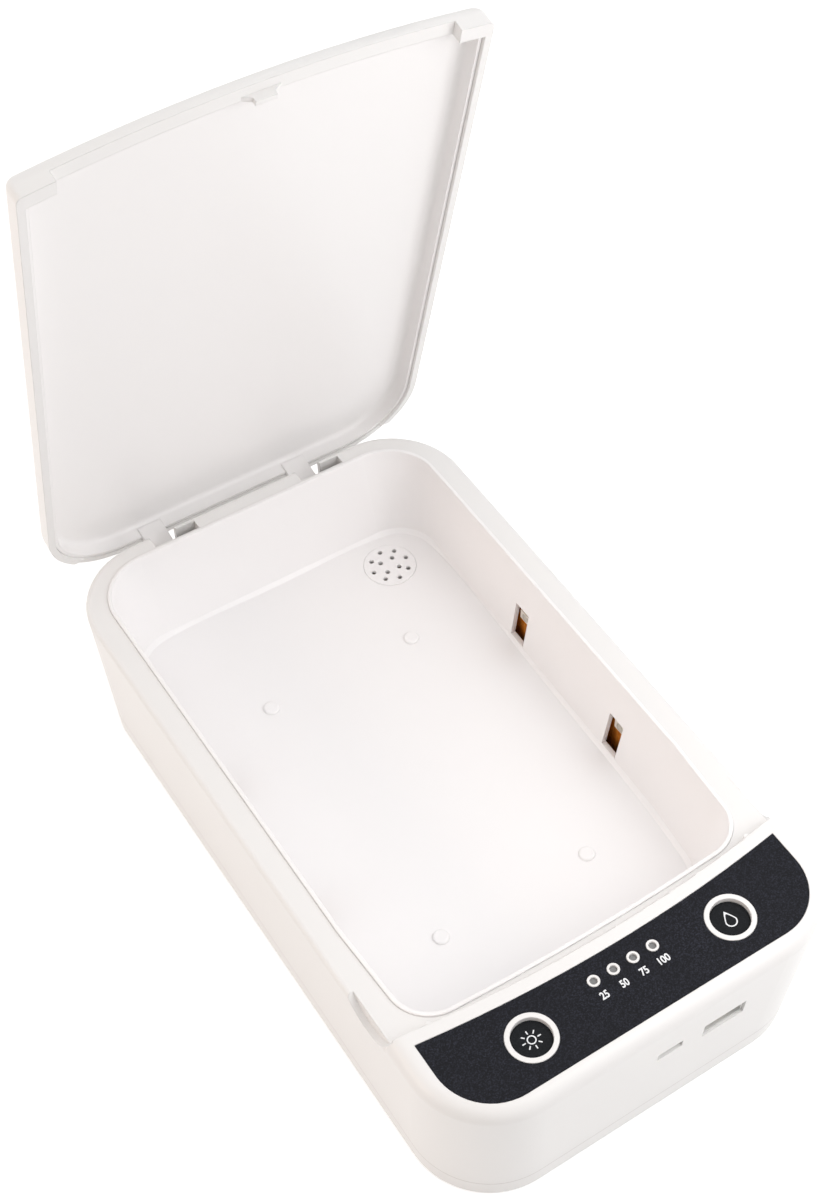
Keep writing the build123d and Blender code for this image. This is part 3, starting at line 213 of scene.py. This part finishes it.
def set_up_studio():
    """A white room that lights the object less from the front left, and the soft lamps."""
    scene = bpy.context.scene
    scene.view_settings.view_transform = "Standard"
    scene.world = bpy.data.worlds.new("studio")
    room = Wiring(scene.world)
    shown = room.background_ray()
    toward = room.add("ShaderNodeVectorMath")
    toward.operation = "DOT_PRODUCT"
    toward.inputs[1].default_value = DIM_SIDE
    room.join(room.add("ShaderNodeTexCoord").outputs["Generated"], toward.inputs[0])
    dimming = room.spread(toward.outputs["Value"], 0.0, 1.0, DIM_START, 1.0)
    share = room.reckon("MULTIPLY", dimming, room.reckon("SUBTRACT", 1.0, shown))
    sky = room.add("ShaderNodeBackground")
    room.join(room.blend(share, WHITE, DIM_COLOUR), sky.inputs["Color"])
    room.join(room.spread(shown, ROOM_LEVEL, 1.0, 0.0, 1.0), sky.inputs["Strength"])
    room.join(sky.outputs["Background"], room.add("ShaderNodeOutputWorld").inputs["Surface"])
    for lamp in STUDIO_LAMPS:
        soft_lamp(*lamp)


def lay_table():
    """A wide white table top that keeps the object's shadow."""
    shape = bmesh.new()
    bmesh.ops.create_grid(shape, x_segments=8, y_segments=8, size=TABLE_REACH)
    mesh = bpy.data.meshes.new("table")
    shape.to_mesh(mesh)
    shape.free()
    table = bpy.data.objects.new("table", mesh)
    table.location.z = -TABLE_GAP
    bpy.context.scene.collection.objects.link(table)
    material = bpy.data.materials.new("white_table")
    top = Wiring(material)
    matt = top.add("ShaderNodeBsdfDiffuse")
    top.feed(TABLE_COLOUR, matt.inputs["Color"])
    glow = top.add("ShaderNodeEmission")
    top.join(top.reckon("MULTIPLY", top.background_ray(), TABLE_LIFT), glow.inputs["Strength"])
    both = top.add("ShaderNodeAddShader")
    top.join(matt.outputs["BSDF"], both.inputs[0])
    top.join(glow.outputs["Emission"], both.inputs[1])
    top.join(both.outputs["Shader"], top.add("ShaderNodeOutputMaterial").inputs["Surface"])
    mesh.materials.append(material)


# ---------------------------------------------------------------- finishes

class Finish(Wiring):
    """A finish under construction: one shader, with patterns fixed to the piece."""

    def __init__(self, name, colour, roughness, **sockets):
        self.material = bpy.data.materials.new(name)
        super().__init__(self.material)
        self.shader = self.add("ShaderNodeBsdfPrincipled")
        self.feed(colour, self.shader.inputs["Base Color"])
        self.feed(roughness, self.shader.inputs["Roughness"])
        for socket, value in sockets.items():
            self.feed(value, self.shader.inputs[socket.replace("_", " ")])
        self.join(self.shader.outputs["BSDF"], self.add("ShaderNodeOutputMaterial").inputs["Surface"])
        self.coords = self.add("ShaderNodeTexCoord").outputs["Object"]
        self.material.diffuse_color = (*colour, 1.0)

    def mapped(self, setting, value):
        """The piece's coordinates, moved, turned or stretched."""
        place = self.add("ShaderNodeMapping")
        place.inputs[setting].default_value = value
        self.join(self.coords, place.inputs["Vector"])
        return place.outputs["Vector"]

    def noise(self, scale, detail=3.0, stretch=None):
        """Noise of a given number of grains per metre."""
        field = self.add("ShaderNodeTexNoise")
        field.inputs["Scale"].default_value = scale
        field.inputs["Detail"].default_value = detail
        self.join(self.mapped("Scale", stretch) if stretch else self.coords, field.inputs["Vector"])
        return field.outputs["Fac"]

    def colour(self, output):
        self.join(output, self.shader.inputs["Base Color"])

    def roughness(self, output):
        self.join(output, self.shader.inputs["Roughness"])

    def relief(self, height, depth, edge=0.0):
        """Bump of a given depth in metres, over edges rounded by edge."""
        bump = self.add("ShaderNodeBump")
        bump.inputs["Strength"].default_value = 1.0
        bump.inputs["Distance"].default_value = depth
        self.join(height, bump.inputs["Height"])
        if edge:
            rounding = self.add("ShaderNodeBevel")
            rounding.samples = 4
            rounding.inputs["Radius"].default_value = edge
            self.join(rounding.outputs["Normal"], bump.inputs["Normal"])
        self.join(bump.outputs["Normal"], self.shader.inputs["Normal"])

    def level_band(self, level, half):
        """1 near a level of height, 0 farther from it than half."""
        parts = self.add("ShaderNodeSeparateXYZ")
        self.join(self.coords, parts.inputs["Vector"])
        away = self.reckon("ABSOLUTE", self.reckon("SUBTRACT", parts.outputs["Z"], level))
        return self.spread(away, 1.0, 0.0, half * 0.5, half)


def darker(colour, share):
    """A colour brought down to a share of its light."""
    return tuple(part * share for part in colour)


def moulded_white(name, colour, shade, roughness, painted_seam_shade=False):
    """Glossy off-white moulding: a faint drift in tone, slight orange peel, softly broken edges, and where
    asked a band of painted shade along the seam.
    """
    finish = Finish(name, colour, roughness, IOR=1.5)
    drift = finish.noise(6.0, 0.0, (1.0, 0.45, 1.0))
    body = finish.blend(finish.spread(drift, 0.0, 1.0, 0.0, 1.0), colour, shade)
    if painted_seam_shade:
        # a band of painted shade along the joint at the seam level
        line = finish.level_band(SEAM_Z, SEAM_HALF)
        body = finish.blend(finish.spread(line, 0.0, 0.55, 0.0, 1.0), body, SEAM_PAINTED_SHADE)
    finish.colour(body)
    finish.roughness(finish.spread(finish.noise(26.0, 0.0), roughness - 0.03, roughness + 0.04, 0.0, 1.0))
    peel = finish.noise(420.0, 2.0)
    finish.relief(peel, 0.003 * MM, 0.35 * MM)
    return finish.material


def speckled_sheet(name, colour, fleck, roughness):
    """Dark printed sheet with a fine even speckle."""
    finish = Finish(name, colour, roughness, IOR=1.45, Specular_IOR_Level=0.2)
    grain = finish.noise(2600.0, 2.0)
    cloud = finish.noise(60.0, 2.0)
    speck = finish.blend(finish.spread(grain, 0.0, 1.0, 0.45, 0.75), colour, fleck)
    finish.colour(finish.blend(finish.spread(cloud, 0.0, 0.35), speck, colour))
    finish.roughness(finish.spread(grain, roughness - 0.08, roughness + 0.08))
    finish.relief(grain, 0.010 * MM, 0.10 * MM)
    return finish.material


def brushed_metal(name, colour, roughness, along=(1.0, 14.0, 14.0)):
    """Bright metal with drawing lines along one axis."""
    finish = Finish(name, colour, roughness, Metallic=1.0)
    lines = finish.noise(700.0, 3.0, along)
    finish.colour(finish.blend(finish.spread(lines, 0.0, 0.6), colour, darker(colour, 0.72)))
    finish.roughness(finish.spread(lines, roughness - 0.08, roughness + 0.12))
    finish.relief(lines, 0.004 * MM, 0.08 * MM)
    return finish.material


def lacquered_board(name, colour, track, weave):
    """Lacquered circuit board: tracks under the lacquer and a faint glass weave."""
    finish = Finish(
        name, colour, 0.32, IOR=1.5, Specular_IOR_Level=0.3, Coat_Weight=0.12, Coat_Roughness=0.15
    )
    tracks = finish.add("ShaderNodeTexBrick")
    tracks.inputs["Scale"].default_value = 130.0
    tracks.inputs["Mortar Size"].default_value = 0.035
    tracks.inputs["Mortar"].default_value = (1.0, 1.0, 1.0, 1.0)
    tracks.inputs["Color1"].default_value = (0.0, 0.0, 0.0, 1.0)
    tracks.inputs["Color2"].default_value = (0.0, 0.0, 0.0, 1.0)
    finish.join(finish.mapped("Rotation", weave), tracks.inputs["Vector"])
    cloth = finish.noise(1500.0, 1.0, (1.0, 0.2, 1.0))
    base = finish.blend(finish.spread(cloth, 0.0, 0.4), colour, darker(colour, 0.6))
    finish.colour(finish.blend(tracks.outputs["Color"], base, track))
    finish.roughness(finish.spread(cloth, 0.25, 0.40))
    finish.relief(tracks.outputs["Color"], 0.03 * MM)
    return finish.material


def plain_moulding(name, colour, roughness, grain=900.0, depth=0.01 * MM, edge=0.12 * MM):
    """Small moulded piece with a fine spark-eroded grain."""
    finish = Finish(name, colour, roughness, IOR=1.48)
    pores = finish.noise(grain, 3.0)
    cloud = finish.noise(120.0, 2.0)
    finish.colour(finish.blend(finish.spread(cloud, 0.0, 0.5), colour, darker(colour, 0.82)))
    finish.roughness(finish.spread(pores, roughness - 0.07, roughness + 0.09))
    finish.relief(pores, depth, edge)
    return finish.material


def soft_felt(name, colour, shade):
    """Absorbent felt: matted fibres with a little fuzz."""
    finish = Finish(name, colour, 0.95, Sheen_Weight=0.35, Sheen_Roughness=0.5)
    fibres = finish.noise(2200.0, 5.0, (1.0, 0.35, 0.6))
    finish.colour(finish.blend(finish.spread(fibres, 0.0, 1.0), colour, shade))
    finish.relief(fibres, 0.08 * MM)
    return finish.material


def light_guide(name, colour):
    """Frosted guide that carries a progress light to the deck."""
    finish = Finish(name, colour, 0.35, IOR=1.49, Transmission_Weight=0.25)
    haze = finish.noise(500.0, 3.0)
    finish.colour(finish.blend(finish.spread(haze, 0.0, 0.6), colour, darker(colour, 0.8)))
    finish.roughness(finish.spread(haze, 0.28, 0.45))
    finish.relief(haze, 0.01 * MM, 0.1 * MM)
    return finish.material


def hazed_quartz(name, colour):
    """Lens of a lamp: clear, slightly hazed."""
    finish = Finish(name, colour, 0.06, IOR=1.46, Transmission_Weight=0.75)
    haze = finish.noise(900.0, 2.0)
    finish.roughness(finish.spread(haze, 0.03, 0.12))
    finish.relief(haze, 0.002 * MM)
    return finish.material


def film_heater(name, colour, track):
    """Amber film with the heater's printed loops showing through."""
    finish = Finish(name, colour, 0.3, IOR=1.5, Coat_Weight=0.5)
    loops = finish.add("ShaderNodeTexWave")
    loops.wave_type = "RINGS"
    loops.rings_direction = "Z"
    loops.inputs["Scale"].default_value = 260.0
    centred = finish.mapped("Location", (-HEATER_CENTRE[0], -HEATER_CENTRE[1], 0.0))
    finish.join(centred, loops.inputs["Vector"])
    finish.colour(finish.blend(finish.spread(loops.outputs["Fac"], 0.0, 1.0, 0.5, 0.8), colour, track))
    finish.relief(loops.outputs["Fac"], 0.02 * MM)
    return finish.material


def screen_print(name, colour, shade):
    """Screen print, a little uneven in its cover."""
    finish = Finish(name, colour, 0.5)
    ink = finish.noise(2500.0, 3.0)
    finish.colour(finish.blend(finish.spread(ink, 0.0, 0.5), colour, shade))
    finish.roughness(finish.spread(ink, 0.40, 0.60))
    finish.relief(ink, 0.004 * MM)
    return finish.material


def dress(material, *names):
    """Give CAD nodes or new pieces a finish."""
    for name in names:
        piece = nodes.get(name) or bpy.data.objects[name]
        slots = piece.material_slots
        if not slots:
            piece.data.materials.append(material)
        for slot in slots:
            slot.material = material


# ---------------------------------------------------------------- new pieces

def place_piece(name, shape, body):
    """Turn a finished bmesh into a piece that rides on a body."""
    mesh = bpy.data.meshes.new(name)
    bmesh.ops.recalc_face_normals(shape, faces=shape.faces)
    shape.to_mesh(mesh)
    shape.free()
    piece = bpy.data.objects.new(name, mesh)
    bpy.context.scene.collection.objects.link(piece)
    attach(piece, body)
    return piece


def box(shape, place, size):
    """A box of a given size, put in place by a matrix."""
    bmesh.ops.create_cube(shape, size=1.0, matrix=place @ Matrix.Diagonal((*size, 1.0)))


def flat_ring(shape, centre, outer, inner, segments):
    """A ring of printed ink on a level face."""
    rings = []
    for radius in (outer, inner):
        made = bmesh.ops.create_circle(
            shape, cap_ends=False, segments=segments, radius=radius, matrix=Matrix.Translation(centre)
        )
        rings.append({edge for vert in made["verts"] for edge in vert.link_edges})
    faces = bmesh.ops.bridge_loops(shape, edges=list(rings[0] | rings[1]))["faces"]
    raised = bmesh.ops.extrude_face_region(shape, geom=faces)["geom"]
    top = [part for part in raised if isinstance(part, bmesh.types.BMVert)]
    bmesh.ops.translate(shape, verts=top, vec=(0, 0, PRINT_THICK))


def letter_mesh(letters):
    """The mesh of a line of letters of size 1."""
    words = bpy.data.curves.new("letters", "FONT")
    words.body = letters
    words.size = 1.0
    words.extrude = NUMBER_RAISE
    words.offset = NUMBER_SWELL
    holder = bpy.data.objects.new("letters", words)
    bpy.context.scene.collection.objects.link(holder)
    bpy.context.view_layer.update()
    mesh = bpy.data.meshes.new_from_object(holder.evaluated_get(bpy.context.evaluated_depsgraph_get()))
    bpy.data.objects.remove(holder)
    return mesh


def print_numbers():
    """The scale of the progress lights, as plain numbers under them."""
    shape = bmesh.new()
    for number, x, width in SCALE_NUMBERS:
        mesh = letter_mesh(number)
        xs = [vert.co.x for vert in mesh.vertices]
        ys = [vert.co.y for vert in mesh.vertices]
        middle = Vector(((min(xs) + max(xs)) / 2, (min(ys) + max(ys)) / 2, 0.0))
        grow_x = width / (max(xs) - min(xs))
        grow_y = NUMBER_HEIGHT / (max(ys) - min(ys))
        grow = Matrix.Diagonal((grow_x, grow_y, PRINT_THICK / (2 * NUMBER_RAISE), 1.0))
        place = Matrix.Translation((x, NUMBER_Y, DECK_Z + PRINT_THICK / 2))
        mesh.transform(place @ grow @ Matrix.Translation(-middle))
        shape.from_mesh(mesh)
        bpy.data.meshes.remove(mesh)
    return place_piece("scale_numbers", shape, "base")


def print_lamp_sign():
    """A small sign of a shining lamp on the sterilising key."""
    centre = Vector((-KEY_X, KEY_Y, KEY_TOP_Z))
    shape = bmesh.new()
    flat_ring(shape, centre, *LAMP_RING, 40)
    for step in range(RAYS):
        turn = Matrix.Rotation(step * 2 * math.pi / RAYS, 4, "Z")
        ray = Matrix.Translation(centre) @ turn @ Matrix.Translation((RAY_OUT, 0.0, PRINT_THICK / 2))
        box(shape, ray, (RAY_LENGTH, RAY_WIDTH, PRINT_THICK))
    return place_piece("lamp_sign", shape, "sterilise_key")


def print_drop_sign():
    """A small sign of a drop of scent on the other key."""
    centre = Vector((KEY_X, KEY_Y - DROP_LOWERED, KEY_TOP_Z))
    shape = bmesh.new()
    flat_ring(shape, Vector((0.0, 0.0, 0.0)), *DROP_RING, 48)
    for vert in shape.verts:
        height = vert.co.y
        if height > 0:
            share = min(height / DROP_RING[0], 1.0)
            vert.co.y = height * (1.0 + DROP_DRAWN * share)
            vert.co.x *= (1.0 - share) ** DROP_TAPER
    bmesh.ops.translate(shape, verts=shape.verts, vec=centre)
    return place_piece("drop_sign", shape, "aroma_key")


def set_lamp_lenses():
    """A domed lens in a raised ring on the face of every lamp."""
    shape = bmesh.new()
    for side in (-1, 1):
        for y in LAMP_YS:
            verts = [shape.verts.new((-side * rise * MM, 0.0, radius * MM)) for radius, rise in LENS_PROFILE]
            edges = [shape.edges.new(pair) for pair in zip(verts, verts[1:])]
            bmesh.ops.spin(
                shape, geom=verts + edges, cent=(0, 0, 0), axis=(1, 0, 0),
                angle=2 * math.pi, steps=LENS_STEPS, use_merge=True,
            )
            spun = [vert for vert in shape.verts if abs(vert.co.x) < LAMP_FACE_X / 2]
            bmesh.ops.translate(shape, verts=spun, vec=(side * LAMP_FACE_X, y, LAMP_Z))
    bmesh.ops.remove_doubles(shape, verts=shape.verts, dist=0.001 * MM)
    return place_piece("lamp_lenses", shape, "base")


def solder_lamp_pads():
    """Two solder fillets at the lower edge of every lamp, on the board's face."""
    shape = bmesh.new()
    flattened = Matrix.Diagonal((*SOLDER_FLATTENED, 1.0))
    for side in (-1, 1):
        for y in LAMP_YS:
            for step in (-SOLDER_ASIDE, SOLDER_ASIDE):
                place = Matrix.Translation((side * BOARD_FACE_X, y + step, LAMP_Z - SOLDER_DROP))
                bmesh.ops.create_uvsphere(
                    shape, u_segments=16, v_segments=10, radius=SOLDER_RADIUS, matrix=place @ flattened
                )
    return place_piece("lamp_solder", shape, "base")


def fit_socket_contacts():
    """Gold contact strips on the tongues of both sockets."""
    shape = bmesh.new()
    for (x, y, z), size, steps in SOCKET_CONTACTS:
        for step in steps:
            place = Matrix.Translation(((x + step) * MM, y * MM, z * MM))
            box(shape, place, [length * MM for length in size])
    bmesh.ops.bevel(
        shape, geom=shape.edges, offset=CONTACT_EDGE, affect="EDGES", segments=1, profile=0.5, material=-1
    )
    return place_piece("socket_contacts", shape, "base")


# ---------------------------------------------------------------- making

set_up_camera()
set_up_studio()
lay_table()

print_numbers()
print_lamp_sign()
print_drop_sign()
set_lamp_lenses()
solder_lamp_pads()
fit_socket_contacts()

case_white = moulded_white("case_white", (0.83, 0.82, 0.81), (0.81, 0.795, 0.785), 0.33, painted_seam_shade=True)
# inner_white and lid_white are the same white plastic as the case, painted lighter to stand in for the brighter
# light in the tub and on the open lid
inner_white = moulded_white("inner_white", (0.90, 0.885, 0.885), (0.885, 0.87, 0.87), 0.32)
lid_white = moulded_white("lid_white", (0.90, 0.885, 0.88), (0.885, 0.87, 0.865), 0.32)
shell_white = moulded_white("shell_white", (0.85, 0.84, 0.83), (0.835, 0.82, 0.81), 0.32)
label_sheet = speckled_sheet("label_sheet", (0.0055, 0.0058, 0.0085), (0.028, 0.030, 0.044), 0.42)
key_face = speckled_sheet("key_face", (0.0045, 0.0055, 0.0070), (0.014, 0.016, 0.020), 0.38)
socket_metal = brushed_metal("socket_metal", (0.90, 0.90, 0.89), 0.42)
pin_metal = brushed_metal("pin_metal", (0.50, 0.48, 0.44), 0.30)
spring_metal = brushed_metal("spring_metal", (0.42, 0.37, 0.22), 0.33)
screw_metal = brushed_metal("screw_metal", (0.16, 0.16, 0.17), 0.35, (14.0, 14.0, 1.0))
gold_contact = brushed_metal("gold_contact", (0.75, 0.52, 0.18), 0.25)
solder_metal = brushed_metal("solder_metal", (0.62, 0.62, 0.62), 0.22)
# The lamp boards' brown and tracks are painted lighter than the real board, standing in for light that hardly
# reaches them behind the windows
lamp_lacquer = lacquered_board(
    "lamp_lacquer", (0.62, 0.19, 0.020), (0.70, 0.26, 0.040), (0.0, math.pi / 2, 0.0)
)
board_lacquer = lacquered_board(
    "board_lacquer", (0.010, 0.070, 0.022), (0.030, 0.140, 0.045), (0.0, 0.0, 0.0)
)
pale_nylon = plain_moulding("pale_nylon", (0.84, 0.83, 0.80), 0.45)
black_package = plain_moulding("black_package", (0.018, 0.018, 0.019), 0.50)
grey_stem = plain_moulding("grey_stem", (0.10, 0.10, 0.105), 0.45)
lamp_ceramic = plain_moulding("lamp_ceramic", (0.82, 0.78, 0.70), 0.50, 1400.0, 0.012 * MM)
led_body = plain_moulding("led_body", (0.72, 0.70, 0.52), 0.35)
foot_rubber = plain_moulding("foot_rubber", (0.46, 0.46, 0.45), 0.70, 700.0, 0.03 * MM, 0.2 * MM)
grey_sheath = plain_moulding("grey_sheath", (0.50, 0.50, 0.49), 0.50, 500.0, 0.01 * MM, 0.0)
scent_felt = soft_felt("scent_felt", (0.30, 0.19, 0.09), (0.16, 0.09, 0.04))
heater_film = film_heater("heater_film", (0.50, 0.20, 0.04), (0.55, 0.33, 0.16))
guide_plastic = light_guide("guide_plastic", (0.30, 0.30, 0.30))
white_print = screen_print("white_print", (0.86, 0.87, 0.88), (0.60, 0.62, 0.66))
clear_quartz = hazed_quartz("clear_quartz", (0.93, 0.90, 0.84))

dress(case_white, "housing", "bottom_cover")
dress(inner_white, "tub", "aroma_grille")
dress(lid_white, "lid_liner")
dress(shell_white, "lid_cover")
dress(label_sheet, "control_label")
dress(key_face, "sterilise_button", "aroma_button")
dress(guide_plastic, "light_pipe")
dress(socket_metal, "usb_a_shell", "micro_usb_shell")
dress(pale_nylon, "usb_a_tongue", "micro_usb_tongue", "lead_connectors", "aroma_cup")
dress(lamp_lacquer, "lamp_board_left", "lamp_board_right")
dress(lamp_ceramic, "uv_lamps_left", "uv_lamps_right")
dress(board_lacquer, "control_board")
dress(black_package, "controller_chip", "lid_sensor", "button_switches", "boost_inductor")
dress(grey_stem, "sterilise_plunger", "aroma_plunger")
dress(led_body, "indicator_leds")
dress(pin_metal, "hinge_pins", "lid_magnet")
dress(spring_metal, "hinge_spring_left", "hinge_spring_right")
dress(screw_metal, "case_screws", "tub_screws", "board_screws")
dress(foot_rubber, "rubber_feet")
dress(grey_sheath, "uv_lead_left", "uv_lead_right", "heater_lead")
dress(scent_felt, "aroma_pad")
dress(heater_film, "aroma_heater")
dress(white_print, "scale_numbers", "lamp_sign", "drop_sign")
dress(clear_quartz, "lamp_lenses")
dress(solder_metal, "lamp_solder")
dress(gold_contact, "socket_contacts")
